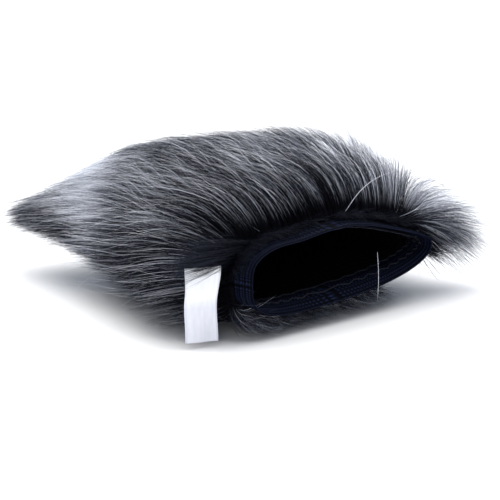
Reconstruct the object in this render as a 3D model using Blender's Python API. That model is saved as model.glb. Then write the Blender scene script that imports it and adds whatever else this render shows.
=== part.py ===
"""Furry windscreen: a soft long-pile pouch with a ribbed elastic cuff, lying on its underside.

World frame: +Z up, floor at z = 0, mouth towards -Y, closed crown towards +Y, metres.
Every piece is laid off from one pouch surface, the inner face of the fur cloth, by distances
along its normal, so the clearances hold when a size changes.
"""

from math import cos, exp, pi, radians, sin

import bmesh
import bpy
from mathutils import Vector

# Driving sizes
GAP = 0.0003  # clearance between neighbouring pieces
POUCH_WIDTH = 0.097  # inner face of the fur cloth, at its widest
POUCH_LENGTH = 0.108  # fur cloth from its mouth edge to the crown
POUCH_TOP = 0.0390  # height of the pouch roof above the floor
POUCH_FLOOR = 0.0100  # height of the pouch floor above the floor it rests on
SEAM_HEIGHT = 0.0205  # height of the side seam
MOUTH_WIDTH = 0.090  # mouth, corner to corner
MOUTH_TOP = 0.0350  # height of the upper lip
MOUTH_FLOOR = 0.0095  # height of the lower lip where the fur cloth ends
LIP_DROP = 0.0020  # how far the front of the lower lip sags below that
PILE_SIDE = 0.0130  # depth of the fur at the sides
PILE_TOP = 0.0170  # depth of the fur on top
PILE_CROWN = 0.0170  # depth of the fur past the crown
PILE_EDGE = 0.0030  # depth of the fur at the mouth edge
PILE_BULGE = 0.0300  # length over which the fur grows from the mouth edge to full depth
LINING_THICKNESS = 0.0010
LINING_SETBACK = 0.0050  # lining starts this far behind the edge of the fur cloth
POCKET_DEPTH = 0.0028  # room between fur cloth and lining for the seam
POCKET_HEIGHT = 0.0026
SEAM_THICKNESS = 0.0013
CUFF_FRONT = 0.0075  # cuff in front of the fur edge
CUFF_BACK = 0.0042  # cuff tucked under the fur cloth
CUFF_THICKNESS = 0.0018
CUFF_RIB = 0.0005  # depth of the grooves between the ribs
CUFF_RIBS = 5
CUFF_SLIT = 0.0004  # gap between the two ends of the elastic
THREAD = 0.00028  # thread radius
LABEL_WIDTH = 0.0120
LABEL_THICKNESS = 0.0005
LABEL_TOP = 0.0280  # height of the label's sewn edge
LABEL_FOOT = 0.0010  # height of the label's free end
LABEL_TURN = radians(-27)  # label's width direction, turned from +X

MOUTH_Y = -(POUCH_LENGTH + PILE_CROWN - CUFF_FRONT) / 2
LIP_Y = MOUTH_Y - CUFF_FRONT
DOME_Y = MOUTH_Y + 0.38 * POUCH_LENGTH
CROWN_Y = MOUTH_Y + POUCH_LENGTH
HALF = 20  # steps round one half of a ring


def smooth(a, b, x):
    """Smooth step from 0 at a to 1 at b."""
    t = min(1.0, max(0.0, (x - a) / (b - a)))
    return t * t * (3 - 2 * t)


def power(value, exponent):
    """Signed power."""
    return (1 if value >= 0 else -1) * abs(value) ** exponent


def ring_point(half_width, low, high, angle, wave):
    """Point of a flattened ring: angle 0 at +X on the seam height, pi/2 on top.

    wave 0 is even. wave 1 is the mouth: tall and round at -X, low at +X, with a dip in the roof.
    """
    roundness = 0.86 - (0.26 * wave if cos(angle) < 0 else 0.0)
    x = half_width * power(cos(angle), roundness)
    s = power(sin(angle), roundness)
    u = x / half_width if half_width > 1e-9 else 0.0
    if s >= 0:
        dip = 0.07 * exp(-(((u + 0.45) / 0.2) ** 2))
        lift = 1 - wave * (0.40 * smooth(0, 1, u) + dip)
        return x, SEAM_HEIGHT + (high - SEAM_HEIGHT) * s * lift
    return x, SEAM_HEIGHT + (SEAM_HEIGHT - low) * s * (1 - 0.16 * u * wave)


def pouch(v, angle):
    """Pouch surface. v runs from -1 at the lip through 0 at the fur edge to 1 at the crown."""
    if v < 0:
        y = MOUTH_Y + v * CUFF_FRONT
        low = MOUTH_FLOOR - LIP_DROP * v * v
        x, z = ring_point(MOUTH_WIDTH / 2, low, MOUTH_TOP, angle, 1.0)
        return Vector((x, y, z))
    turn = v * pi / 2
    straight = DOME_Y - MOUTH_Y
    run = sin(turn)
    y = MOUTH_Y + straight * min(1.0, 1.6 * v) + (CROWN_Y - DOME_Y) * smooth_run(run)
    close = power(cos(turn), 0.80)
    grow = smooth(0, 0.45, v)
    half = (MOUTH_WIDTH * (1 - grow) + POUCH_WIDTH * grow) / 2 * close
    high = SEAM_HEIGHT + (MOUTH_TOP * (1 - grow) + POUCH_TOP * grow - SEAM_HEIGHT) * close
    low = SEAM_HEIGHT - (SEAM_HEIGHT - MOUTH_FLOOR * (1 - grow) - POUCH_FLOOR * grow) * close
    x, z = ring_point(half, low, high, angle, 1 - smooth(0, 0.5, v))
    return Vector((x, y, z))


def smooth_run(run):
    """Length covered towards the crown, slow at first so the sides stay straight."""
    return run * run


def normal(v, angle):
    """Outward normal of the pouch surface."""
    if v > 0.9995:
        return Vector((0, 1, 0))
    dv = 0.002
    da = 0.004
    along = pouch(min(1.0, v + dv), angle) - pouch(v - dv, angle)
    around = pouch(v, angle + da) - pouch(v, angle - da)
    return along.cross(around).normalized()


def off(v, angle, distance):
    """Point at a distance outside the pouch surface, or inside it when negative."""
    return pouch(v, angle) + normal(v, angle) * distance


def pile(v, angle):
    """Outer surface of the fur, before its underside is cut flat by the floor."""
    start = off(0, angle, PILE_EDGE)
    mid_y = MOUTH_Y + PILE_BULGE
    back = CROWN_Y + PILE_CROWN
    edge_half = abs(off(0, 0, PILE_EDGE).x)
    full_half = POUCH_WIDTH / 2 + PILE_SIDE
    edge_top = off(0, pi / 2, PILE_EDGE).z
    full_top = POUCH_TOP + PILE_TOP
    edge_low = off(0, -pi / 2, PILE_EDGE).z
    full_low = -0.0025
    if v < 0.35:
        turn = (1 - v / 0.35) * pi / 2
        y = mid_y + (start.y - mid_y) * power(sin(turn), 0.85)
        k = power(cos(turn), 0.85)
        half = edge_half + (full_half - edge_half) * k
        high = edge_top + (full_top - edge_top) * k
        low = edge_low + (full_low - edge_low) * k
        x, z = ring_point(half, low, high, angle, 1 - k)
        point = Vector((x, y, z)).lerp(start, (1 - v / 0.35) ** 6)
    else:
        turn = (v - 0.35) / 0.65 * pi / 2
        y = mid_y + (back - mid_y) * power(sin(turn), 0.86)
        k = power(cos(turn), 0.86)
        high = SEAM_HEIGHT + (full_top - SEAM_HEIGHT) * k
        low = SEAM_HEIGHT + (full_low - SEAM_HEIGHT) * k
        x, z = ring_point(full_half * k, low, high, angle, 0)
        point = Vector((x, y, z))
    return point


def pocket(point):
    """Extra inset that leaves a pocket for the seam at the seam height."""
    return POCKET_DEPTH * exp(-(((point.z - SEAM_HEIGHT) / POCKET_HEIGHT) ** 2))


def solid(name, verts, faces, material):
    """A new object from points and faces, with its outward side worked out."""
    bm = bmesh.new()
    made = [bm.verts.new(p) for p in verts]
    for face in faces:
        bm.faces.new([made[i] for i in face])
    bmesh.ops.recalc_face_normals(bm, faces=bm.faces)
    if bm.calc_volume(signed=True) < 0:
        bmesh.ops.reverse_faces(bm, faces=bm.faces)
    mesh = bpy.data.meshes.new(name)
    bm.to_mesh(mesh)
    bm.free()
    for polygon in mesh.polygons:
        polygon.use_smooth = True
    mesh.materials.append(material)
    ob = bpy.data.objects.new(name, mesh)
    bpy.context.scene.collection.objects.link(ob)
    return ob


def material(name, colour, roughness):
    """A Principled material."""
    made = bpy.data.materials.new(name)
    made.use_nodes = True
    shader = made.node_tree.nodes["Principled BSDF"]
    shader.inputs["Base Color"].default_value = (*colour, 1)
    shader.inputs["Roughness"].default_value = roughness
    shader.inputs["Metallic"].default_value = 0
    return made


def half_shell(name, outer, inner, stations, side, stuff):
    """A half of the pouch between two surfaces, side +1 above the seam and -1 below it."""
    verts = []
    faces = []
    shift = Vector((0, 0, side * GAP / 2))

    def skin(surface):
        rows = []
        for v in stations[:-1]:
            row = []
            for i in range(HALF + 1):
                point = surface(v, side * pi * i / HALF)
                if i in (0, HALF):
                    point.z = SEAM_HEIGHT
                row.append(len(verts))
                verts.append(point + shift)
                verts[-1].z = max(0.0, verts[-1].z)
            rows.append(row)
        pole = surface(stations[-1], side * pi / 2)
        pole.z = SEAM_HEIGHT
        verts.append(pole + shift)
        rows.append([len(verts) - 1])
        return rows

    out_rows = skin(outer)
    in_rows = skin(inner)
    for rows in (out_rows, in_rows):
        for a, b in zip(rows, rows[1:]):
            for i in range(HALF):
                if len(b) == 1:
                    faces.append((a[i], a[i + 1], b[0]))
                else:
                    faces.append((a[i], a[i + 1], b[i + 1], b[i]))
    for i in range(HALF):
        faces.append((out_rows[0][i], out_rows[0][i + 1], in_rows[0][i + 1], in_rows[0][i]))
    for end in (0, -1):
        for k in range(len(stations) - 1):
            a, b = out_rows[k][end], out_rows[k + 1][end]
            c, d = in_rows[k + 1][end], in_rows[k][end]
            faces.append((a, b, c, d))
    return solid(name, verts, faces, stuff)


def tube(name, path, radii, sides, closed, stuff, ups=None):
    """A bar swept along a path, with an oval section of two radii and flat ends."""
    verts = []
    faces = []
    count = len(path)
    for k, point in enumerate(path):
        ahead = path[(k + 1) % count] if closed or k < count - 1 else point
        behind = path[k - 1] if closed or k > 0 else point
        along = (ahead - behind).normalized()
        up = ups[k] if ups else Vector((0, 0, 1))
        across = along.cross(up).normalized()
        up = across.cross(along).normalized()
        for s in range(sides):
            a = 2 * pi * (s + 0.5) / sides
            verts.append(point + across * (radii[0] * cos(a)) + up * (radii[1] * sin(a)))
    last = count if closed else count - 1
    for k in range(last):
        n = (k + 1) % count
        for s in range(sides):
            t = (s + 1) % sides
            faces.append((k * sides + s, k * sides + t, n * sides + t, n * sides + s))
    if not closed:
        faces.append(tuple(range(sides)))
        faces.append(tuple((count - 1) * sides + s for s in range(sides)))
    return solid(name, verts, faces, stuff)


for old in list(bpy.data.objects):
    bpy.data.objects.remove(old)

FUR = material("grey_fur", (0.20, 0.20, 0.22), 0.95)
CLOTH = material("black_lining", (0.012, 0.012, 0.018), 0.9)
KNIT = material("black_elastic", (0.02, 0.02, 0.025), 0.8)
YARN = material("black_thread", (0.03, 0.03, 0.035), 0.7)
SATIN = material("white_satin", (0.80, 0.81, 0.84), 0.45)

# Fur panels: the pouch surface inside, the pile outside
PANEL = [0, 0.02, 0.05, 0.09, 0.14, 0.20, 0.27, 0.35, 0.43, 0.50, 0.57, 0.64, 0.70, 0.76, 0.82]
PANEL += [0.87, 0.92, 0.96, 0.985, 1]
for side, name in ((1, "fur_panel_top"), (-1, "fur_panel_bottom")):
    half_shell(name, pile, lambda v, a: off(v, a, 0), PANEL, side, FUR)

# Lining: a thin inner skin that stands off at the seam to leave its pocket


def inset_v(distance):
    """Station of the pouch surface at a distance behind the fur edge, on the mid line."""
    low, high = 0.0, 1.0
    for _ in range(40):
        mid = (low + high) / 2
        if pouch(mid, pi / 2).y - MOUTH_Y < distance:
            low = mid
        else:
            high = mid
    return low


lining_start = inset_v(LINING_SETBACK)
LINING = [lining_start] + [v for v in PANEL if v > lining_start + 0.01]


def inset(v, angle, distance):
    """Point inside the pouch surface, with the seam's pocket taken off level with the floor."""
    level = normal(v, angle)
    level.z = 0
    if level.length > 1e-6:
        level.normalize()
    return off(v, angle, -distance) - level * pocket(pouch(v, angle))


def lining_out(v, angle):
    return inset(v, angle, GAP)


def lining_in(v, angle):
    return inset(v, angle, GAP + LINING_THICKNESS)


for side, name in ((1, "lining_top"), (-1, "lining_bottom")):
    half_shell(name, lining_out, lining_in, LINING, side, CLOTH)

# Overlock thread: one U-shaped strip along a side, round the crown and back
seam_v = inset_v(LINING_SETBACK + 0.001)
strip_gap = 1.8 * GAP
strip_half = POCKET_DEPTH / 2 - 1.3 * strip_gap
steps = 24
stops = [seam_v + (0.985 - seam_v) * k / steps for k in range(steps + 1)]
left = [off(v, pi, -strip_gap - strip_half) for v in stops]
right = [Vector((-p.x, p.y, p.z)) for p in reversed(left)]
tip = off(1, pi / 2, -strip_gap - strip_half)
tip.z = SEAM_HEIGHT
path = left + [tip] + right
for point in path:
    point.z = SEAM_HEIGHT
tube("side_seam_overlock", path, (strip_half, SEAM_THICKNESS / 2), 8, False, YARN)

# Elastic cuff: one ribbed strip bent to a ring, its ends meeting at the far corner
back_v = inset_v(CUFF_BACK)
ROUND = 60
rib_steps = 2 * CUFF_RIBS
verts = []
faces = []
slit = CUFF_SLIT / MOUTH_TOP


def cuff_station(k):
    """Station k of the cuff's width, and 1 on a rib's crest or 0 in a groove."""
    part = k / rib_steps
    reach = CUFF_FRONT + CUFF_BACK
    distance = part * reach - CUFF_FRONT
    v = distance / CUFF_FRONT if distance < 0 else inset_v(distance)
    return v, k % 2


for j in range(ROUND + 1):
    angle = slit + (2 * pi - 2 * slit) * j / ROUND
    for k in range(rib_steps + 1):
        v, crest = cuff_station(k)
        verts.append(off(v, angle, -GAP - (0 if crest else CUFF_RIB)))
    for k in reversed(range(rib_steps + 1)):
        v, crest = cuff_station(k)
        depth = -GAP - CUFF_THICKNESS
        verts.append(off(v, angle, depth + (0 if crest else CUFF_RIB)))
around = 2 * (rib_steps + 1)
for j in range(ROUND):
    for s in range(around):
        t = (s + 1) % around
        a = j * around
        b = a + around
        faces.append((a + s, a + t, b + t, b + s))
faces.append(tuple(range(around)))
faces.append(tuple(ROUND * around + s for s in range(around)))
solid("elastic_cuff", verts, faces, KNIT)

# Zigzag thread rows on the inner face of the cuff
depth = -GAP - CUFF_THICKNESS - GAP - THREAD * 1.15
ZIGZAG = 84
for name, part in (("cuff_stitch_front", 0.40), ("cuff_stitch_back", 0.78)):
    path = []
    ups = []
    for j in range(ZIGZAG):
        angle = 2 * pi * (j + 0.5) / ZIGZAG
        distance = part * (CUFF_FRONT + CUFF_BACK) - CUFF_FRONT + (0.0006 if j % 2 else -0.0006)
        v = distance / CUFF_FRONT if distance < 0 else inset_v(distance)
        path.append(off(v, angle, depth))
        ups.append(normal(v, angle))
    tube(name, path, (THREAD, THREAD), 5, True, YARN, ups)

# Bartack that joins the ends of the elastic, between the two thread rows
distance = 0.59 * (CUFF_FRONT + CUFF_BACK) - CUFF_FRONT
v = distance / CUFF_FRONT if distance < 0 else inset_v(distance)
path = []
ups = []
for k in range(9):
    angle = -0.16 + 0.32 * k / 8
    path.append(off(v, angle, -GAP - CUFF_THICKNESS - GAP - 0.0004))
    ups.append(normal(v, angle))
tube("cuff_join_bartack", path, (0.0011, 0.0004), 8, False, YARN, ups)

# Label: hangs in front of the fur at the near corner, turned a little outwards
axis = Vector((cos(LABEL_TURN), sin(LABEL_TURN), 0))
face = Vector((axis.y, -axis.x, 0))
corner = off(-1, pi, 0)
label_right = corner + axis * -0.010


def front_reach(first, last, low, high):
    """Furthest reach of the fur in the label's facing direction, over the label's window."""
    best = -1.0
    for a in range(361):
        angle = pi * a / 180
        for s in range(41):
            point = pile(0.35 * s / 40, angle)
            if low <= point.z <= high and first <= point.dot(axis) <= last:
                best = max(best, point.dot(face))
    return best


right_at = label_right.dot(axis)
left_at = right_at - LABEL_WIDTH
reach = front_reach(left_at - 0.001, right_at + 0.001, LABEL_FOOT - 0.001, LABEL_TOP + 0.004)
plane = reach + 2 * GAP + LABEL_THICKNESS / 2
middle = axis * ((left_at + right_at) / 2) + face * plane


def block(name, centre, size, stuff, bevel):
    """A box with its length along the label's width direction."""
    bpy.ops.mesh.primitive_cube_add(size=1)
    ob = bpy.context.object
    ob.name = name
    ob.data.name = name
    for vert in ob.data.vertices:
        vert.co = Vector((vert.co.x * size[0], vert.co.y * size[1], vert.co.z * size[2]))
    ob.location = centre
    ob.rotation_euler = (0, 0, LABEL_TURN)
    ob.data.materials.append(stuff)
    cut = ob.modifiers.new("Bevel", "BEVEL")
    cut.width = bevel
    cut.segments = 2
    return ob


height = LABEL_TOP - LABEL_FOOT
hinge = LABEL_TOP - LABEL_THICKNESS / 2
label = block(
    "satin_label",
    Vector((middle.x, middle.y, hinge)),
    (LABEL_WIDTH, LABEL_THICKNESS, height),
    SATIN,
    0.00015,
)
for vert in label.data.vertices:
    vert.co.z -= height / 2 - LABEL_THICKNESS / 2
tack = Vector((middle.x, middle.y, LABEL_TOP + GAP + 0.0006))
block("label_bartack", tack, (LABEL_WIDTH * 0.9, 0.0010, 0.0012), YARN, 0.00025)

# The whole stands with the middle of its outline over the origin
bpy.context.view_layer.update()
spots = [ob.matrix_world @ v.co for ob in bpy.data.objects for v in ob.data.vertices]
for k in (0, 1):
    along = [spot[k] for spot in spots]
    shift = (min(along) + max(along)) / 2
    for ob in bpy.data.objects:
        ob.location[k] -= shift
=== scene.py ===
"""Furry windscreen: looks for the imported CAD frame.

The fur, cloth, lining, cuff and label are all laid off from one pouch surface, the same one that
the CAD solids follow. Metres, +Z up, mouth towards -Y, crown towards +Y, floor at z = 0.
"""

from math import cos, pi, radians, sin

import bpy
import numpy as np
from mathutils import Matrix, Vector
from mathutils.kdtree import KDTree


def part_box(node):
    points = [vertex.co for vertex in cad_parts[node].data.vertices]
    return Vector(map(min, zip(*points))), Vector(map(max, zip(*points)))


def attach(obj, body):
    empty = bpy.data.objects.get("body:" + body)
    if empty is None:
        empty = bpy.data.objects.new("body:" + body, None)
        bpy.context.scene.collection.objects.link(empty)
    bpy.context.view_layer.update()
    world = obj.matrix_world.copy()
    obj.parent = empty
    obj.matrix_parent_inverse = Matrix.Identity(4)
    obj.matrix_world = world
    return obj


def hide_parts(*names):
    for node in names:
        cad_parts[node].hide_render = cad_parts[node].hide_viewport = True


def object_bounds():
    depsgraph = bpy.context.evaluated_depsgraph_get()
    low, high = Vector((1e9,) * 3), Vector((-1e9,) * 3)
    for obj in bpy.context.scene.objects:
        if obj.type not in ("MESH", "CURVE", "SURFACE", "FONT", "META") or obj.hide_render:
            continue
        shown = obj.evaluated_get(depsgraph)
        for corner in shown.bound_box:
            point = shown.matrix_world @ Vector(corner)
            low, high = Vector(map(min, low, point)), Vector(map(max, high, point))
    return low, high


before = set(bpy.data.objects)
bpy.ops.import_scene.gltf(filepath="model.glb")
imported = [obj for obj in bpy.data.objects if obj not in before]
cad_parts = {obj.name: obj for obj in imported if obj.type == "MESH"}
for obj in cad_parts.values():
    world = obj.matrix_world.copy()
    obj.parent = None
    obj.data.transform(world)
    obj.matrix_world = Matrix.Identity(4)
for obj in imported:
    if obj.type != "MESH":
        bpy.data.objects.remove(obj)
cad_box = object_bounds()
scene = bpy.context.scene
POUCH, LABEL = "pouch", "label"

# The pouch surface, as in the CAD
GAP = 0.0003
SEAM_SLIT = 0.00004  # between the upper and lower panels at the side seam
CLOTH_FACE = 0.0001  # inner face of the fur cloth, outside the pouch surface
CLOTH_THICKNESS = 0.0008  # outer face of the fur cloth, under the pile
POUCH_WIDTH = 0.097
POUCH_LENGTH = 0.108
POUCH_TOP = 0.0390
POUCH_FLOOR = 0.0100
SEAM_HEIGHT = 0.0205
MOUTH_WIDTH = 0.090
MOUTH_TOP = 0.0350
MOUTH_FLOOR = 0.0095
LIP_DROP = 0.0020
PILE_CROWN = 0.0170
LINING_THICKNESS = 0.0010
LINING_SETBACK = 0.0050
POCKET_DEPTH = 0.0028
POCKET_HEIGHT = 0.0026
REAR_RISE = 0.60  # how far the slack underside draws up towards the seam behind the mouth
CUFF_FRONT = 0.0075
CUFF_BACK = 0.0042
CUFF_THICKNESS = 0.0018
CUFF_RIBS = 5
CUFF_LOOP = 0.0010  # width of one knitted loop
CUFF_GROOVE = 0.00042  # depth of the grooves between the ribs
CUFF_ROUNDED = 0.0050  # length over which the front edge of the cuff is rounded
LABEL_WIDTH = 0.0120
LABEL_THICKNESS = 0.0003
LABEL_TURN = radians(-27)  # label's width direction, turned from +X
LABEL_CLEAR = 0.0012  # the free end hangs this far above the foot of its space
MOUTH_Y = -(POUCH_LENGTH + PILE_CROWN - CUFF_FRONT) / 2
DOME_Y = MOUTH_Y + 0.38 * POUCH_LENGTH
CROWN_Y = MOUTH_Y + POUCH_LENGTH

panel_low, panel_high = (np.array(c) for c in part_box("fur_panel_top"))
SHIFT = np.array(
    [(panel_low[0] + panel_high[0]) / 2, panel_high[1] - CROWN_Y - PILE_CROWN, 0.0]
)


def smooth(a, b, x):
    """Smooth step from 0 at a to 1 at b."""
    t = np.clip((x - a) / (b - a), 0, 1)
    return t * t * (3 - 2 * t)


def power(value, exponent):
    """Signed power."""
    return np.sign(value) * np.abs(value) ** exponent


def pouch(v, angle):
    """Points of the pouch surface. v: -1 lip, 0 fur edge, 1 crown. angle: 0 at +X, pi/2 on top."""
    v, angle = np.broadcast_arrays(np.asarray(v, float), np.asarray(angle, float))
    front = np.minimum(v, 0)
    back = np.maximum(v, 0)
    turn = back * pi / 2
    y = MOUTH_Y + front * CUFF_FRONT + (DOME_Y - MOUTH_Y) * np.minimum(1, 1.6 * back)
    y = y + (CROWN_Y - DOME_Y) * np.sin(turn) ** 2
    close = np.abs(np.cos(turn)) ** 0.80
    grow = smooth(0, 0.45, back)
    half = (MOUTH_WIDTH * (1 - grow) + POUCH_WIDTH * grow) / 2 * close
    high = (MOUTH_TOP * (1 - grow) + POUCH_TOP * grow - SEAM_HEIGHT) * close
    mouth_low = MOUTH_FLOOR - LIP_DROP * front**2
    low = (SEAM_HEIGHT - mouth_low * (1 - grow) - POUCH_FLOOR * grow) * close
    low = low * (1 - REAR_RISE * smooth(0.06, 0.5, back))
    wave = 1 - smooth(0, 0.5, back)
    c, s = np.cos(angle), np.sin(angle)
    roundness = 0.86 - np.where(c < 0, 0.26 * wave, 0)
    u = power(c, roundness)
    s = power(s, roundness)
    dip = 0.07 * np.exp(-(((u + 0.45) / 0.2) ** 2))
    lift = 1 - wave * (0.40 * smooth(0, 1, u) + dip)
    z = SEAM_HEIGHT + np.where(s >= 0, high * s * lift, low * s * (1 - 0.16 * u * wave))
    return np.stack([half * u, y, z], -1) + SHIFT


def unit(v):
    """Vectors scaled to length 1."""
    return v / np.maximum(np.linalg.norm(v, axis=-1, keepdims=True), 1e-9)


def frame_at(v, angle):
    """Point, outward normal and direction towards the crown."""
    dv, da = 0.002, 0.004
    along = pouch(np.minimum(1, v + dv), angle) - pouch(v - dv, angle)
    around = pouch(v, angle + da) - pouch(v, angle - da)
    return pouch(v, angle), unit(np.cross(along, around)), unit(along)


def station(distance):
    """v at a distance behind the fur edge, measured on the roof's middle line."""
    v = np.linspace(0, 1, 4001)
    return np.interp(distance, pouch(v, pi / 2)[:, 1] - MOUTH_Y - SHIFT[1], v)


# Materials ---------------------------------------------------------------------------------------


class Nodes:
    """A material's node tree, with short ways to add to it."""

    def __init__(self, name):
        self.material = bpy.data.materials.new(name)
        self.material.use_nodes = True
        self.tree = self.material.node_tree
        self.shader = self.tree.nodes["Principled BSDF"]

    def add(self, kind, **values):
        node = self.tree.nodes.new(kind)
        for key, value in values.items():
            setattr(node, key, value)
        return node

    def link(self, out, into):
        self.tree.links.new(out, into)

    def value(self, socket, number):
        self.shader.inputs[socket].default_value = number

    def math(self, operation, a, b=None, clamp=False):
        node = self.add("ShaderNodeMath", operation=operation, use_clamp=clamp)
        for k, item in enumerate((a, b)):
            if item is None:
                continue
            if isinstance(item, (int, float)):
                node.inputs[k].default_value = item
            else:
                self.link(item, node.inputs[k])
        return node.outputs[0]

    def ramp(self, factor, stops):
        node = self.add("ShaderNodeValToRGB")
        ramp = node.color_ramp
        while len(ramp.elements) < len(stops):
            ramp.elements.new(1)
        for element, (place, colour) in zip(ramp.elements, stops):
            element.position = place
            element.color = (*colour, 1)
        self.link(factor, node.inputs[0])
        return node.outputs[0]

    def mix(self, factor, a, b):
        node = self.add("ShaderNodeMix", data_type="RGBA")
        for socket, item in ((node.inputs[0], factor), (node.inputs[6], a), (node.inputs[7], b)):
            if isinstance(item, (int, float)):
                socket.default_value = item
            elif isinstance(item, tuple):
                socket.default_value = (*item, 1)
            else:
                self.link(item, socket)
        return node.outputs[2]

    def uv(self, name="OFBake"):
        split = self.add("ShaderNodeSeparateXYZ")
        self.link(self.add("ShaderNodeUVMap", uv_map=name).outputs[0], split.inputs[0])
        return split.outputs[0], split.outputs[1]

    def bump(self, height, strength, distance):
        node = self.add("ShaderNodeBump")
        node.inputs["Strength"].default_value = strength
        node.inputs["Distance"].default_value = distance
        self.link(height, node.inputs["Height"])
        self.link(node.outputs[0], self.shader.inputs["Normal"])


def fur_material():
    """Long pile: near-black bluish roots, grey lengths, silver tips. U is how silver a hair is; for the
    pile it also carries painted shade and painted light.
    """
    m = Nodes("fur_pile")
    silver, along = m.uv()
    root = m.ramp(silver, [(0, (0.0006, 0.0008, 0.0020)), (1, (0.004, 0.0045, 0.008))])
    mid = m.ramp(
        silver,
        [(0, (0.0018, 0.0021, 0.0045)), (0.5, (0.021, 0.0235, 0.038)), (1, (0.46, 0.485, 0.56))],
    )
    tip = m.ramp(
        silver,
        [(0, (0.007, 0.008, 0.014)), (0.5, (0.068, 0.075, 0.112)), (1, (0.87, 0.89, 0.95))],
    )
    lower = m.ramp(along, [(0.17, (0, 0, 0)), (0.39, (1, 1, 1))])
    upper = m.ramp(along, [(0.45, (0, 0, 0)), (0.85, (1, 1, 1))])
    m.link(m.mix(upper, m.mix(lower, root, mid), tip), m.shader.inputs["Base Color"])
    m.value("Roughness", 0.5)
    m.value("Specular IOR Level", 0.04)
    return m.material


def knit_material(name, dark, light, across, around, strength, roughness):
    """Fine knit: rows of small loops over U and V, with the raised loops painted lighter and the
    grooves darker as painted highlight and shade.
    """
    m = Nodes(name)
    u, v = m.uv()
    row = m.math("SINE", m.math("MULTIPLY", v, across * 2 * pi))
    shift = m.math("MULTIPLY", row, 0.9)
    loop = m.math("SINE", m.math("ADD", m.math("MULTIPLY", u, around * 2 * pi), shift))
    height = m.math("MULTIPLY", m.math("ADD", loop, 1.0), m.math("ADD", row, 1.2))
    height = m.math("MULTIPLY", height, 0.23, clamp=True)
    # Painted highlight and shade: the colour follows the loop height, lighter on the raised loops and
    # darker in the grooves.
    m.link(m.ramp(height, [(0.15, dark), (0.95, light)]), m.shader.inputs["Base Color"])
    m.bump(height, strength, 0.0003)
    m.value("Roughness", roughness)
    m.value("Specular IOR Level", 0.03)
    return m.material


def thread_material():
    """Black spun thread with a fine twist."""
    m = Nodes("spun_thread")
    place = m.add("ShaderNodeTexCoord").outputs["Object"]
    wave = m.add("ShaderNodeTexWave", bands_direction="DIAGONAL")
    wave.inputs["Scale"].default_value = 900
    wave.inputs["Distortion"].default_value = 2
    m.link(place, wave.inputs["Vector"])
    m.link(
        m.ramp(wave.outputs["Fac"], [(0.2, (0.003, 0.003, 0.006)), (0.9, (0.013, 0.015, 0.024))]),
        m.shader.inputs["Base Color"],
    )
    m.bump(wave.outputs["Fac"], 0.5, 0.0001)
    m.value("Roughness", 0.7)
    m.value("Specular IOR Level", 0.1)
    return m.material


def satin_material():
    """White woven satin ribbon: fine cross ribs and firm selvedges; the lower half is painted darker
    and bluer as painted shade.
    """
    m = Nodes("white_satin_ribbon")
    u, v = m.uv()
    ribs = m.math("SINE", m.math("MULTIPLY", v, 90 * 2 * pi))
    edge = m.math("ABSOLUTE", m.math("SUBTRACT", m.math("MULTIPLY", u, 2.0), 1.0))
    selvedge = m.ramp(edge, [(0.86, (0, 0, 0)), (0.90, (1, 1, 1))])
    noise = m.add("ShaderNodeTexNoise")
    noise.inputs["Scale"].default_value = 9
    m.link(m.add("ShaderNodeUVMap", uv_map="OFBake").outputs[0], noise.inputs["Vector"])
    cloth = m.ramp(noise.outputs["Fac"], [(0.3, (0.72, 0.73, 0.78)), (0.7, (0.80, 0.81, 0.84))])
    white = m.mix(selvedge, cloth, (0.66, 0.68, 0.73))
    # Painted shade: the ribbon is painted darker and bluer below the crease, where the lower half tilts
    # away from the light.
    painted_shade = m.ramp(v, [(0.20, (1, 1, 1)), (0.27, (0.84, 0.84, 0.88)), (0.48, (0.80, 0.80, 0.84))])
    shade_multiply = m.add("ShaderNodeMix", data_type="RGBA", blend_type="MULTIPLY")
    shade_multiply.inputs[0].default_value = 1
    m.link(white, shade_multiply.inputs[6])
    m.link(painted_shade, shade_multiply.inputs[7])
    m.link(shade_multiply.outputs[2], m.shader.inputs["Base Color"])
    height = m.math("ADD", m.math("MULTIPLY", ribs, 0.25), m.math("MULTIPLY", selvedge, 0.5))
    m.bump(height, 0.35, 0.0001)
    m.value("Roughness", 0.38)
    m.value("Specular IOR Level", 0.4)
    return m.material


def floor_material():
    """Plain white glossy board."""
    m = Nodes("white_board")
    m.value("Base Color", (0.93, 0.93, 0.94, 1))
    m.value("Roughness", 0.16)
    m.value("Specular IOR Level", 0.5)
    return m.material


# Mesh helpers ------------------------------------------------------------------------------------


def mesh_object(name, points, quads, uvs, material):
    """An object of quads, with one UV per quad corner in the map OFBake."""
    mesh = bpy.data.meshes.new(name)
    mesh.vertices.add(len(points))
    mesh.vertices.foreach_set("co", np.asarray(points, np.float32).ravel())
    mesh.loops.add(quads.size)
    mesh.loops.foreach_set("vertex_index", quads.astype(np.int32).ravel())
    mesh.polygons.add(len(quads))
    mesh.polygons.foreach_set("loop_start", np.arange(0, quads.size, 4, dtype=np.int32))
    mesh.polygons.foreach_set("use_smooth", np.ones(len(quads), bool))
    mesh.update(calc_edges=True)
    layer = mesh.uv_layers.new(name="OFBake")
    layer.data.foreach_set("uv", np.asarray(uvs, np.float32).ravel())
    mesh.materials.append(material)
    ob = bpy.data.objects.new(name, mesh)
    scene.collection.objects.link(ob)
    return ob


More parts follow.
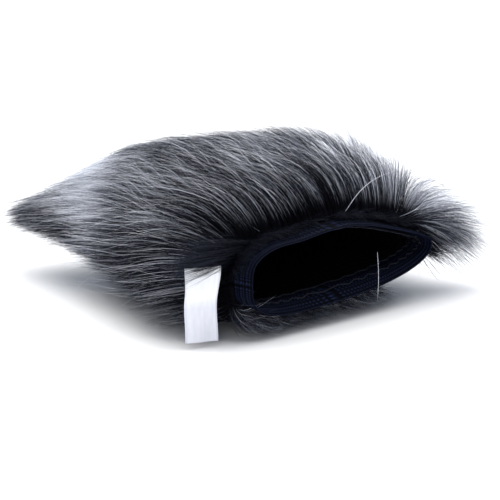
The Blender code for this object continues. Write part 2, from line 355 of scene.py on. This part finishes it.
def shell(name, outer, inner, material, ring=False):
    """A closed thin cloth between two grids of points, (steps along, steps around, 3)."""
    n, m, _ = outer.shape
    points = np.concatenate([outer.reshape(-1, 3), inner.reshape(-1, 3)])
    out, back = np.arange(2 * n * m).reshape(2, n, m)
    cols = m if ring else m - 1
    a = np.arange(n - 1)[:, None]
    b = np.arange(cols)[None, :]
    c = (b + 1) % m
    quads, uvs = [], []
    u0, u1 = b / cols + a * 0.0, (b + 1) / cols + a * 0.0
    for side, (face, flip) in enumerate(((out, 1), (back, -1))):
        q = np.stack([face[a, b], face[a, c], face[a + 1, c], face[a + 1, b]], -1)
        v0 = (side + 0.02 + 0.96 * a / (n - 1)) / 2 + b * 0.0
        v1 = (side + 0.02 + 0.96 * (a + 1) / (n - 1)) / 2 + b * 0.0
        t = np.stack([np.stack(uv, -1) for uv in ((u0, v0), (u1, v0), (u1, v1), (u0, v1))], -2)
        quads.append(q.reshape(-1, 4)[:, ::flip])
        uvs.append(t.reshape(-1, 4, 2)[:, ::flip])
    rims = []
    k = np.arange(cols)
    following = (k + 1) % m
    for row in (0, n - 1):
        rim = [out[row, k], back[row, k], back[row, following], out[row, following]]
        rims.append(np.stack(rim if row == 0 else rim[::-1], -1))
    if not ring:
        k = np.arange(n - 1)
        for col in (0, m - 1):
            rim = [out[k, col], out[k + 1, col], back[k + 1, col], back[k, col]]
            rims.append(np.stack(rim if col == 0 else rim[::-1], -1))
    rims = np.concatenate(rims)
    quads.append(rims)
    corner = np.array([[0.0, 0.004], [0.004, 0.004], [0.004, 0.008], [0.0, 0.008]])
    uvs.append(np.broadcast_to(corner, (len(rims), 4, 2)))
    return mesh_object(name, points, np.concatenate(quads), np.concatenate(uvs), material)


# Cloth, lining and cuff --------------------------------------------------------------------------


def panel(side, name, first, offsets, material, inset=False):
    """One half of a cloth pouch: the sheet between two distances from the pouch surface."""
    v = np.concatenate([np.linspace(first, 0.9, 60), np.linspace(0.905, 0.9985, 26)])[:, None]
    angle = side * np.linspace(0.004, pi - 0.004, 96)[None, :]
    grids = []
    for distance in offsets:
        point, normal, _ = frame_at(v, angle)
        grid = point + normal * distance
        if inset:
            level = normal * (1, 1, 0)
            depth = POCKET_DEPTH * np.exp(-(((point[..., 2] - SEAM_HEIGHT) / POCKET_HEIGHT) ** 2))
            grid = grid - unit(level) * depth[..., None]
        beyond = np.maximum if side > 0 else np.minimum
        grid[..., 2] = beyond(grid[..., 2], SEAM_HEIGHT + side * SEAM_SLIT / 2)
        grids.append(grid)
    ob = shell(name, grids[0], grids[1], material)
    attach(ob, POUCH)
    return ob


def cuff():
    """The ribbed knitted elastic: rounded rib rows, each a row of small loops, on both faces."""
    rows, around = 84, 400
    reach = CUFF_FRONT + CUFF_BACK
    distance = np.linspace(-CUFF_FRONT, CUFF_BACK, rows)
    v = np.where(distance < 0, distance / CUFF_FRONT, station(np.maximum(distance, 0)))[:, None]
    angle = np.linspace(0, 2 * pi, around, endpoint=False)[None, :]
    middle = pouch(np.full((1, 1), -0.3), angle)[0]
    step = np.linalg.norm(np.roll(middle, -1, 0) - middle, axis=-1)
    total = step.sum()
    loops = round(total / CUFF_LOOP)
    part = (distance[:, None] + CUFF_FRONT) / reach * CUFF_RIBS
    rib = np.abs(np.sin(pi * part)) ** 0.7
    groove = CUFF_GROOVE * (1 - rib) + 0 * angle
    front = 1 - smooth(0, CUFF_ROUNDED, distance + CUFF_FRONT)[:, None]
    rounded = 0.40 * CUFF_THICKNESS * front
    point, normal, _ = frame_at(v, angle)
    outer = point - normal * (GAP + groove + rounded)[..., None]
    inner = point - normal * (GAP + CUFF_THICKNESS - groove - rounded)[..., None]
    # Groove and loop colours of the elastic; the lighter loops are a painted highlight.
    dark, light = (0.0006, 0.0008, 0.0024), (0.010, 0.0145, 0.037)
    material = knit_material("ribbed_elastic", dark, light, 4 * CUFF_RIBS, loops, 0.35, 0.8)
    ob = shell("ribbed_cuff", outer, inner, material, ring=True)
    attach(ob, POUCH)
    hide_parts("elastic_cuff")


# Fur ---------------------------------------------------------------------------------------------

SEGMENTS = 8  # quads along one hair
PIECE_HAIRS = 6000  # most hairs in one piece
PILE_HAIRS = 84000
LOCKS = 3600
PILE_LENGTH = 0.0385
PILE_LIFT = radians(58)  # how steeply the pile leaves the cloth
FLOOR_LAYER = 0.0030  # hairs that reach the floor lie within this height
CROWN_TUFT = np.array([-0.0255, 0.0665, 0.0200])
PINCH_START, PINCH_END = 0.024, 0.068  # the tuft narrows between these, left of the origin
PINCH = 0.62  # how much it narrows
TUFT_SLOPE = 0.09  # the tuft drops this much for each unit to the left
BAND_PLACE = 0.0515  # tips this far left make the silver band before the tuft
BAND_LEAN = 0.65  # the band moves right with the depth below BAND_TOP
BAND_TOP, BAND_DROP = 0.026, 0.020
BAND_WIDTH = 0.010
box_low, box_high = (np.array(c) for c in cad_box)
MARGIN = 0.010 + 0.02 * (box_high - box_low)
ROOM = (np.array([*(box_low - MARGIN)[:2], 0.0]), box_high + MARGIN)  # where hairs may be


def fields(points, rng, waves, scale):
    """A smooth random value from -1 to 1 at each point: a sum of a few plane waves."""
    total = np.zeros(len(points))
    for _ in range(waves):
        k = rng.normal(size=3)
        k *= scale * rng.uniform(0.6, 1.5) / np.linalg.norm(k)
        total += np.sin(points @ k + rng.uniform(0, 2 * pi))
    return total / waves**0.5 / 1.2


def sample_roots(rng, count, density):
    """Random places on the pouch surface, even over its area times density(v, angle)."""
    v = np.linspace(0.001, 0.993, 190)
    angle = np.linspace(-pi, pi, 301)
    grid = pouch(v[:, None], angle[None, :])
    a = grid[1:, :-1] - grid[:-1, :-1]
    b = grid[:-1, 1:] - grid[:-1, :-1]
    weight = np.linalg.norm(np.cross(a, b), axis=-1)
    vm, am = (v[1:] + v[:-1])[:, None] / 2, (angle[1:] + angle[:-1])[None, :] / 2
    weight = weight * density(vm, am)
    cell = rng.choice(weight.size, count, p=(weight / weight.sum()).ravel())
    i, j = np.divmod(cell, weight.shape[1])
    return (
        v[i] + rng.random(count) * (v[1] - v[0]),
        angle[j] + rng.random(count) * (angle[1] - angle[0]),
    )


def comb(root, flow, normal, length, lift, curl, sag, droop):
    """Points of each hair: it leaves the cloth at the angle lift and lies down along flow."""
    s = (np.arange(SEGMENTS) + 0.5) / SEGMENTS
    rise = lift[:, None] * (1 - s) ** 1.15 + 0.06
    heading = flow[:, None] * np.cos(rise)[..., None] + normal[:, None] * np.sin(rise)[..., None]
    side = unit(np.cross(flow, normal))
    heading = heading + side[:, None] * (curl[:, None] * (s - 0.25))[..., None]
    heading[..., 2] -= (sag[:, None] + droop * s) * s
    step = unit(heading) * (length / SEGMENTS)[:, None, None]
    return np.concatenate([root[:, None], root[:, None] + np.cumsum(step, 1)], 1)


def gather(paths, guides, pull, tightness):
    """Hairs lean towards the nearest guide hair, more towards their tips, and so form locks."""
    tree = KDTree(len(guides))
    for k, g in enumerate(guides):
        tree.insert(g[0], k)
    tree.balance()
    near = np.array([tree.find(p)[1] for p in paths[:, 0]])
    lock = guides[near]
    s = np.linspace(0, 1, SEGMENTS + 1)[None, :, None]
    spread = paths[:, :1] - lock[:, :1]
    target = lock + spread * (1 - tightness * s)
    weight = pull[:, None, None] * s**0.8
    return paths * (1 - weight) + target * weight, near


def above_floor(paths, rng, layer):
    """Hairs that would pass through the floor lie on it."""
    low = rng.uniform(0.0002, layer, len(paths))[:, None]
    z = paths[..., 2]
    soft = low + 0.0015 * np.log1p(np.exp(np.clip((z - low) / 0.0015, -30, 30)))
    paths[..., 2] = np.where(z < 0.006, np.minimum(soft, np.maximum(z, soft)), z)
    return paths


def ribbons(name, paths, width, silver, rng, material, nodes, pale_from=0.0):
    """Flat tapered hairs as one or more pieces; pale_from above 0 leaves out the dark root."""
    taper = np.interp(np.linspace(0, 1, SEGMENTS + 1), [0, 0.15, 0.6, 1], [0.75, 1, 0.8, 0.12])
    for k in range(0, len(paths), PIECE_HAIRS):
        p = paths[k : k + PIECE_HAIRS]
        n = len(p)
        along = np.gradient(p, axis=1)
        across = unit(np.cross(along, unit(rng.normal(size=(n, 1, 3)))))
        half = across * (width[k : k + n, None] / 2 * taper)[..., None]
        points = np.stack([p - half, p + half], 2).reshape(-1, 3)
        row = 2 * (SEGMENTS + 1)
        s = np.arange(SEGMENTS) * 2
        quad = np.stack([s, s + 1, s + 3, s + 2], -1)
        quads = (np.arange(n)[:, None, None] * row + quad).reshape(-1, 4)
        u = 0.008 + 0.984 * silver[k : k + n]
        v0 = pale_from + 0.01 + (0.98 - pale_from) * np.arange(SEGMENTS) / SEGMENTS
        v1 = v0 + (0.98 - pale_from) / SEGMENTS
        uvs = np.empty((n, SEGMENTS, 4, 2))
        uvs[..., (0, 3), 0] = (u - 0.004)[:, None, None]
        uvs[..., (1, 2), 0] = (u + 0.004)[:, None, None]
        uvs[..., (0, 1), 1] = v0[None, :, None]
        uvs[..., (2, 3), 1] = v1[None, :, None]
        piece = f"{name}_{k // PIECE_HAIRS + 1:02d}"
        ob = mesh_object(piece, points, quads, uvs.reshape(-1, 2), material)
        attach(ob, POUCH)
        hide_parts(*nodes)


def corner_at(v, angle):
    """How much a root belongs to the right corner of the mouth, 0 to 1."""
    around = np.angle(np.exp(1j * (angle - 0.16)))
    return np.clip(1.3 * np.exp(-((around / 0.52) ** 2)), 0, 1) * (1 - smooth(0.03, 0.34, v))


def flow_at(root, normal, towards, v, angle, turn):
    """Combing direction: to the crown, where it gathers in a tuft, and out at the right corner."""
    crown = smooth(0.30, 0.75, v)[:, None]
    to_tuft = unit(CROWN_TUFT - root)
    corner = corner_at(v, angle)[:, None] ** 1.3
    outwards = unit(np.array([1.0, -0.40, -0.05]) + 0 * root)
    flow = towards * (1 - crown) + to_tuft * crown
    flow = unit(flow) * (1 - corner) + outwards * corner
    down = np.array([0, 0, -1.0]) + normal * normal[:, 2:3]
    flank = smooth(0.9, 0.3, np.abs(normal[:, 2:3])) * (1 - crown)
    side = unit(np.cross(towards, normal))
    lean = (np.exp(-(((angle - 0.75) / 0.5) ** 2)) * (1 - smooth(0.1, 0.5, v)))[:, None]
    flow = flow + np.array([0.45, 0, 0]) * lean * (1 - corner)
    return unit(flow + down * 0.10 * flank + side * turn[:, None] * 0.20)


def leftness(x, y):
    """Distance along the line that runs from the right corner of the mouth to the crown tuft."""
    return (y - x) / 2**0.5


def pinch(paths):
    """Draws the hairs behind the crown together into one soft tuft."""

    def narrow(q):
        return 1 - PINCH * smooth(PINCH_START, PINCH_END, q)

    left = leftness(paths[..., 0], paths[..., 1])
    deep = leftness(-paths[..., 0], paths[..., 1])
    tuft_left = leftness(CROWN_TUFT[0], CROWN_TUFT[1])
    tuft_deep = leftness(-CROWN_TUFT[0], CROWN_TUFT[1])
    # Each hair follows the tuft more or less, by a fixed scramble of where its root is
    ease = 0.35 + 0.9 * np.abs(np.sin(1e4 * paths[:, :1, 2] + 3e3 * paths[:, :1, 0]))
    ratio = np.minimum(1, narrow(left) / narrow(left[:, :1])) ** ease
    axis_z = CROWN_TUFT[2] + TUFT_SLOPE * (tuft_left - left)
    deep = tuft_deep + (deep - tuft_deep) * ratio**0.55
    z = axis_z + (paths[..., 2] - axis_z) * ratio**1.2
    return np.stack([(deep - left) / 2**0.5, (deep + left) / 2**0.5, z], -1)


def keep_inside(paths):
    """Hairs are drawn in towards their roots where they would leave the room the fur has."""
    root = paths[:, :1]
    reach = paths - root
    low, high = ROOM
    with np.errstate(divide="ignore", invalid="ignore"):
        below = np.where(reach < 0, (low - root) / reach, 9)
        ratio = np.where(reach > 0, (high - root) / reach, below)
    ratio = np.clip(np.nan_to_num(ratio, nan=9, posinf=9), 0, 9).min(axis=(1, 2))
    return root + reach * np.minimum(1, ratio)[:, None, None]


def pile_density(v, angle):
    """Share of the pile's roots: thinner underneath, thicker at the lip and the right corner."""
    under = smooth(-0.75, -0.95, np.sin(angle))
    return 1.0 - 0.45 * under + 0.25 * smooth(0.06, 0.0, v) + 0.3 * corner_at(v, angle)


def pile_zones(v, angle):
    """How much each root belongs to the crown, underside, left flank, right corner and shoulder."""
    crown = smooth(0.35, 0.85, v)
    under = smooth(-0.05, -0.75, np.sin(angle)) * (1 - 0.6 * crown)
    left = smooth(0.2, 0.9, -np.cos(angle)) * (1 - crown)
    shoulder = np.exp(-(((angle - 0.70) / 0.38) ** 2)) * (1 - smooth(0.15, 0.5, v))
    return crown, under, left, corner_at(v, angle), shoulder


def pile_paths(rng, v, angle, swirl, fine):
    """The path of each hair of the pile, before hairs gather into locks."""
    root, normal, towards = frame_at(v, angle)
    crown, under, left, corner, shoulder = pile_zones(v, angle)
    n = len(v)
    edge = smooth(0.10, 0.0, v)
    flow = flow_at(root, normal, towards, v, angle, 0.55 * swirl + 0.14 * fine)
    flow = unit(flow + 0.20 * corner[:, None] * rng.normal(size=(n, 3)))
    length = PILE_LENGTH + 0.0012 * fine + 0.0015 * swirl - 0.012 * under
    length = length + 0.004 * crown + 0.008 * shoulder + 0.006 * corner
    length = length * (1 - 0.55 * corner * rng.random(n) ** 1.5)
    length = length * rng.uniform(0.72, 1.08, n) * (1 - 0.10 * edge)
    to_tuft = np.linalg.norm(CROWN_TUFT - root, axis=1) * rng.uniform(0.70, 1.22, n)
    length = length * (1 - crown) + np.minimum(length * 1.15, to_tuft) * crown
    lift = PILE_LIFT * (1 - 0.50 * left * smooth(0.02, 0.30, v)) * (1 - 0.72 * crown)
    lift = lift * (1 - 0.45 * corner) * (1 - 0.6 * under)
    lift = lift + radians(13) * shoulder + 0.24 * edge + 0.04 * fine
    lift = lift + rng.normal(0, 0.08, n) * (1 - 0.4 * crown)
    curl = 0.04 * fine + rng.normal(0, 0.045, n)
    hanging = corner * smooth(0.30, -0.05, angle)
    sag = 0.06 + rng.uniform(0, 0.10, n) + corner * (0.15 + rng.uniform(0, 0.9, n) ** 2)
    sag = sag + 0.7 * hanging * rng.random(n)
    return comb(root, flow, normal, length, lift, curl, sag, 0.20)


def pile_tone(rng, paths, near, v, angle, patch):
    """How silver each hair is, from 0 to 1, with painted shade on the underside and left flank and
    painted light on the shoulder and right corner, and which are the bright ones.
    """
    crown, under, left, corner, shoulder = pile_zones(v, angle)
    total = len(paths)
    height = np.sin(angle)
    lock_tone = rng.normal(0, 0.20, LOCKS)[near]
    tip_left = leftness(paths[:, -1, 0], paths[:, -1, 1])
    # Silver tips towards the crown tuft; the right corner is made paler as painted light, standing in
    # for back light.
    silver_and_backlight = 0.45 * crown * smooth(0.012, 0.040, tip_left) + 0.72 * corner
    tone = 0.06 + silver_and_backlight + 0.26 * patch + lock_tone + rng.normal(0, 0.19, total)
    shaded_low_left = left * smooth(0.7, -0.1, height)
    lean = BAND_LEAN * np.clip(BAND_TOP - paths[:, -1, 2], 0, BAND_DROP)
    centre = BAND_PLACE - lean + rng.normal(0, 0.0035, LOCKS)[near]
    band = np.exp(-(((tip_left - centre) / BAND_WIDTH) ** 2)) * smooth(0.06, 0.35, v)
    band = band * rng.uniform(0.8, 1.2, total)
    tone = tone + 1.70 * band * smooth(-0.9, -0.3, height)
    tone = tone - 0.80 * smooth(0.008, 0.014, tip_left - centre) * rng.random(total)
    # Painted light: the shoulder is made paler.
    tone = tone + 0.42 * shoulder - 0.03 * (1 - crown)
    # Painted shade: the underside, the left flank and its lower part are made darker.
    tone = tone - 0.26 * under - 0.26 * left - 0.75 * shaded_low_left
    share = 0.20 - 0.05 * left - 0.08 * shaded_low_left - 0.05 * crown
    bright = (rng.random(LOCKS)[near] < 0.22 * share) | (rng.random(total) < 0.80 * share)
    return np.clip(np.where(bright, np.maximum(tone, 0.06) + 0.66, tone), 0, 1), bright


def fur(material):
    """The long pile of both panels."""
    rng = np.random.default_rng(7)
    total = PILE_HAIRS
    v, angle = sample_roots(rng, total + LOCKS, pile_density)
    root = pouch(v, angle)
    swirl = fields(root, np.random.default_rng(3), 7, 60)
    fine = fields(root, np.random.default_rng(4), 9, 260)
    patch = fields(root, np.random.default_rng(5), 8, 110)
    paths = pile_paths(rng, v, angle, swirl, fine)
    guides, paths = paths[:LOCKS], paths[LOCKS:]
    paths, near = gather(paths, guides, rng.uniform(0.0, 0.75, total), 0.55)
    paths = keep_inside(above_floor(pinch(paths), rng, FLOOR_LAYER))
    v, angle, patch = v[LOCKS:], angle[LOCKS:], patch[LOCKS:]
    silver, bright = pile_tone(rng, paths, near, v, angle, patch)
    broad, slim = rng.uniform(0.00012, 0.00021, total), rng.uniform(0.00008, 0.00014, total)
    width = np.where(bright, broad, slim)
    top = np.sin(angle) >= 0
    for word, chosen in (("top", top), ("bottom", ~top)):
        hairs = paths[chosen], width[chosen], silver[chosen]
        ribbons(f"fur_{word}", *hairs, rng, material, [f"fur_panel_{word}"])


def guard_hairs(material):
    """Longer pale hairs that stand out from the pile."""
    rng = np.random.default_rng(21)
    count = 2800
    v, angle = sample_roots(rng, count, lambda v, a: smooth(-0.3, 0.4, np.sin(a)) + 0.08)
    root, normal, towards = frame_at(v, angle)
    flow = flow_at(root, normal, towards, v, angle, rng.normal(0, 0.7, count))
    length = 0.040 * rng.uniform(0.75, 1.15, count)
    lift = radians(56) + rng.normal(0, 0.13, count)
    lift = lift * (1 - 0.7 * corner_at(v, angle)) * (1 - 0.6 * smooth(0.3, 0.8, v))
    curl, sag = rng.normal(0, 0.35, count), rng.uniform(0, 0.3, count)
    paths = comb(root, flow, normal, length, lift, curl, sag, 0.3)
    free = rng.random((count, 1, 1)) ** 2
    paths = above_floor(pinch(paths) * (1 - free) + paths * free, rng, FLOOR_LAYER)
    silver = rng.normal(0.78, 0.15, count) - 0.6 * smooth(0.4, 0.8, v) * rng.random(count)
    silver = np.clip(silver, 0, 1)
    width = rng.uniform(0.00008, 0.00013, count)
    ribbons("fur_guard", keep_inside(paths), width, silver, rng, material, ["fur_panel_top"])


def fringe(material):
    """Short hairs that curl out from under the lower lip."""
    rng = np.random.default_rng(33)
    count = 3600
    v = rng.uniform(0.0, 0.05, count)
    angle = -rng.uniform(0.36, 0.90, count) * pi
    root, normal, towards = frame_at(v, angle)
    aside = np.array([0.75, 0, 0]) + rng.normal(0, 0.25, (count, 3))
    flow = unit(-towards * rng.uniform(0.0, 0.45, (count, 1)) + aside)
    length = rng.uniform(0.008, 0.017, count)
    lift = radians(62) + rng.normal(0, 0.2, count)
    paths = comb(root, flow, normal, length, lift, rng.normal(0, 0.3, count), np.full(count, 0.1), 0.2)
    paths = above_floor(paths, rng, 0.0025)
    silver = np.clip(rng.normal(0.18, 0.34, count), 0, 1)
    width = rng.uniform(0.00008, 0.00012, count)
    ribbons("fur_fringe", paths, width, silver, rng, material, ["fur_panel_bottom"])


def lip_shade_hairs(material):
    """Short near-black hairs that lean forward from the upper lip over the elastic, as painted shade:
    they darken the elastic where the overhanging hair shades it.
    """
    rng = np.random.default_rng(77)
    count = 4600
    v = rng.uniform(0.0, 0.03, count)
    angle = rng.uniform(-0.25, 3.00, count)
    root, normal, towards = frame_at(v, angle)
    end = smooth(0.45, 0.05, angle)
    aside = np.array([0.9, 0, -0.35]) * end[:, None]
    flow = unit(rng.normal(0, 0.22, (count, 3)) - towards + aside)
    length = rng.uniform(0.0035, 0.0085, count) * (1 + 0.7 * end)
    lift = radians(36) + rng.normal(0, 0.20, count)
    paths = comb(root, flow, normal, length, lift, rng.normal(0, 0.2, count), np.full(count, 0.05), 0.1)
    # Near-black: painted shade over the elastic.
    silver = np.clip(rng.normal(0.0, 0.06, count), 0, 1)
    width = rng.uniform(0.00010, 0.00016, count)
    ribbons("fur_lip_shade", keep_inside(paths), width, silver, rng, material, ["fur_panel_top"])


def loose_hairs(material):
    """Single pale hairs that have come loose: one across the lower lip, one over the upper lip."""
    lines = (
        ((0.0166, -0.0668, 0.0223), (0.0160, -0.0674, 0.0045), (0.0006, 0, 0)),
        ((0.0080, -0.0580, 0.0344), (0.0320, -0.0610, 0.0476), (-0.0016, 0, 0.0034)),
        ((0.0350, -0.0585, 0.0300), (0.0455, -0.0640, 0.0385), (0.0022, 0, -0.0016)),
        ((-0.0440, -0.0570, 0.0300), (-0.0600, -0.0480, 0.0360), (0, 0, -0.0026)),
        ((-0.0300, -0.0560, 0.0360), (-0.0560, -0.0200, 0.0500), (0, 0, 0.0050)),
    )
    s = np.linspace(0, 1, SEGMENTS + 1)[:, None]
    a, b, bow = (part[:, None] for part in np.array(lines).transpose(1, 0, 2))
    paths = a * (1 - s) + b * s + bow * np.sin(pi * s)
    paths = np.repeat(paths, 3, axis=0)
    rng = np.random.default_rng(66)
    count = len(paths)
    width, silver = np.full(count, 0.00017), np.full(count, 0.95)
    ribbons("fur_loose", paths, width, silver, rng, material, ["fur_panel_top"], pale_from=0.5)


def corner_veil(material):
    """Hairs from the right end of the upper lip that sweep down over the corner of the mouth."""
    rng = np.random.default_rng(55)
    count = 1300
    v = rng.uniform(0.0, 0.06, count)
    angle = rng.uniform(0.02, 0.75, count)
    root, normal, _ = frame_at(v, angle)
    flow = unit(np.array([1.0, -0.50, -0.20]) + rng.normal(0, 0.20, (count, 3)))
    length = rng.uniform(0.014, 0.038, count)
    lift = radians(22) + rng.normal(0, 0.12, count)
    sag = rng.uniform(0.05, 0.9, count)
    paths = comb(root, flow, normal, length, lift, rng.normal(0, 0.12, count), sag, 0.25)
    silver = np.clip(rng.normal(0.44, 0.30, count), 0, 1)
    width = rng.uniform(0.00009, 0.00014, count)
    paths = keep_inside(above_floor(paths, rng, 0.0025))
    ribbons("fur_veil", paths, width, silver, rng, material, ["fur_panel_top"])


def label_cover(material):
    """Dark hairs from the left corner of the mouth that fall across the top of the label."""
    rng = np.random.default_rng(44)
    count = 1500
    v = rng.uniform(0.0, 0.07, count)
    angle = pi - rng.uniform(0.25, 1.05, count)
    root, normal, _ = frame_at(v, angle)
    flow = unit(np.array([-0.90, 0.60, -0.06]) + rng.normal(0, 0.12, (count, 3)))
    length = rng.uniform(0.016, 0.030, count)
    lift = radians(30) + rng.normal(0, 0.12, count)
    forward = unit(np.array([-0.25, -1.0, 0.15]) + 0 * root)
    curl, sag = rng.normal(0, 0.08, count), np.full(count, 0.02)
    paths = comb(root, flow, forward, length, lift, curl, sag, 0.10)
    silver = np.clip(rng.normal(0.08, 0.13, count), 0, 1)
    width = rng.uniform(0.00009, 0.00015, count)
    ribbons("fur_corner", keep_inside(paths), width, silver, rng, material, ["fur_panel_top"])


# Label -------------------------------------------------------------------------------------------


def label():
    """A satin ribbon that hangs from its sewn edge, bowed a little, with a soft crease."""
    low, high = (np.array(c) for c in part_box("satin_label"))
    axis = np.array([cos(LABEL_TURN), sin(LABEL_TURN), 0])
    face = np.array([axis[1], -axis[0], 0])
    centre = (low + high) / 2
    length = high[2] - low[2] - LABEL_CLEAR
    t = np.linspace(0, 1, 70)[:, None]
    w = np.linspace(-0.5, 0.5, 25)[None, :]
    bow = 0.0012 * np.sin(pi * t) - 0.0003 * np.exp(-(((t - 0.45) / 0.08) ** 2))
    bow = bow + 0.0009 * t**3 + 0.0004 * np.sin(2 * pi * (w + 0.1) + 2.2 * t) * t
    narrow = 0.955 + 0.12 * (1 - smooth(0, 0.40, t)) + 0.02 * smooth(0.7, 1, t)
    sway = 0.0004 - 0.0012 * smooth(0, 0.60, t) + 0.0006 * smooth(0.5, 1, t)
    across = (w * LABEL_WIDTH * narrow)[..., None]
    middle = centre[None, None] + axis * across + face * bow[..., None]
    middle = middle + axis * (sway + 0 * w)[..., None]
    middle[..., 2] = (high[2] - length * t) + 0 * w
    half = face * LABEL_THICKNESS / 2
    ob = shell("ribbon_label", middle + half, middle - half, satin_material())
    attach(ob, LABEL)
    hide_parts("satin_label")


# The object --------------------------------------------------------------------------------------

# Groove and loop colours of the backing and lining; the lighter loops are a painted highlight.
dark, light = (0.001, 0.0011, 0.002), (0.004, 0.0042, 0.007)
fur_cloth = knit_material("fur_backing", dark, light, 80, 160, 0.3, 0.85)
dark, light = (0.0010, 0.0010, 0.0018), (0.003, 0.0031, 0.005)
lining_cloth = knit_material("lining_knit", dark, light, 90, 180, 0.3, 0.8)
for side, word in ((1, "top"), (-1, "bottom")):
    cloth = panel(side, f"fur_cloth_{word}", 0.0, (CLOTH_THICKNESS, CLOTH_FACE), fur_cloth)
    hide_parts(f"fur_panel_{word}")
    start = float(station(LINING_SETBACK))
    faces = (-GAP, -GAP - LINING_THICKNESS)
    liner = panel(side, f"soft_lining_{word}", start, faces, lining_cloth, inset=True)
    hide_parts(f"lining_{word}")
cuff()
label()
pile = fur_material()
fur(pile)
guard_hairs(pile)
fringe(pile)
label_cover(pile)
corner_veil(pile)
loose_hairs(pile)
lip_shade_hairs(pile)
thread = thread_material()
sewn = ("side_seam_overlock", "cuff_join_bartack", "cuff_stitch_front", "cuff_stitch_back")
for node in (*sewn, "label_bartack"):
    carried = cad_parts[node]
    carried.data.materials.clear()
    carried.data.materials.append(thread)

# Floor, light and camera -------------------------------------------------------------------------

floor_mesh = bpy.data.meshes.new("studio_floor")
floor_mesh.from_pydata([(-60, -60, 0), (60, -60, 0), (60, 60, 0), (-60, 60, 0)], [], [(0, 1, 2, 3)])
floor_mesh.materials.append(floor_material())
floor = bpy.data.objects.new("studio_floor", floor_mesh)
scene.collection.objects.link(floor)

world = bpy.data.worlds.new("studio")
world.use_nodes = True
nodes = world.node_tree.nodes
nodes["Background"].inputs[0].default_value = (0.66, 0.78, 1.0, 1)
nodes["Background"].inputs[1].default_value = 0.34
paper = nodes.new("ShaderNodeBackground")
paper.inputs[0].default_value = (1, 1, 1, 1)
paper.inputs[1].default_value = 1.05
seen = nodes.new("ShaderNodeLightPath")
choose = nodes.new("ShaderNodeMixShader")
world.node_tree.links.new(seen.outputs["Is Camera Ray"], choose.inputs[0])
world.node_tree.links.new(nodes["Background"].outputs[0], choose.inputs[1])
world.node_tree.links.new(paper.outputs[0], choose.inputs[2])
world.node_tree.links.new(choose.outputs[0], nodes["World Output"].inputs[0])
scene.world = world
scene.view_settings.view_transform = "Standard"


def lamp(kind, name, place, target, strength, colour, **shape):
    """A soft lamp aimed at a point."""
    data = bpy.data.lights.new(name, kind)
    data.energy = strength
    data.color = colour
    for key, value in shape.items():
        setattr(data, key, value)
    ob = bpy.data.objects.new(name, data)
    ob.location = place
    ob.rotation_euler = (Vector(target) - Vector(place)).to_track_quat("-Z", "Y").to_euler()
    scene.collection.objects.link(ob)


WARM = (1.0, 0.985, 0.95)
lamp("SUN", "overhead", (0.13, 0.19, 0.68), (0, 0, 0.02), 6.4, WARM, angle=radians(96))
lamp("AREA", "front", (-0.70, -0.50, 0.26), (0, 0, 0.03), 3.0, WARM, size=0.45)

AZIMUTH, ELEVATION = radians(-45), radians(14)
DISTANCE = 2.4
FRAME_WIDTH = 0.1724  # seen across the picture, at the object
back = Vector((sin(AZIMUTH) * cos(ELEVATION), -cos(AZIMUTH) * cos(ELEVATION), sin(ELEVATION)))
aim = Vector((-0.0055, -0.0271, 0.0200))
camera_data = bpy.data.cameras.new("camera")
camera_data.sensor_width = 36
camera_data.lens = 36 * DISTANCE / FRAME_WIDTH
camera = bpy.data.objects.new("camera", camera_data)
camera.location = aim + back * DISTANCE
camera.rotation_euler = back.to_track_quat("Z", "Y").to_euler()
scene.collection.objects.link(camera)
scene.camera = camera
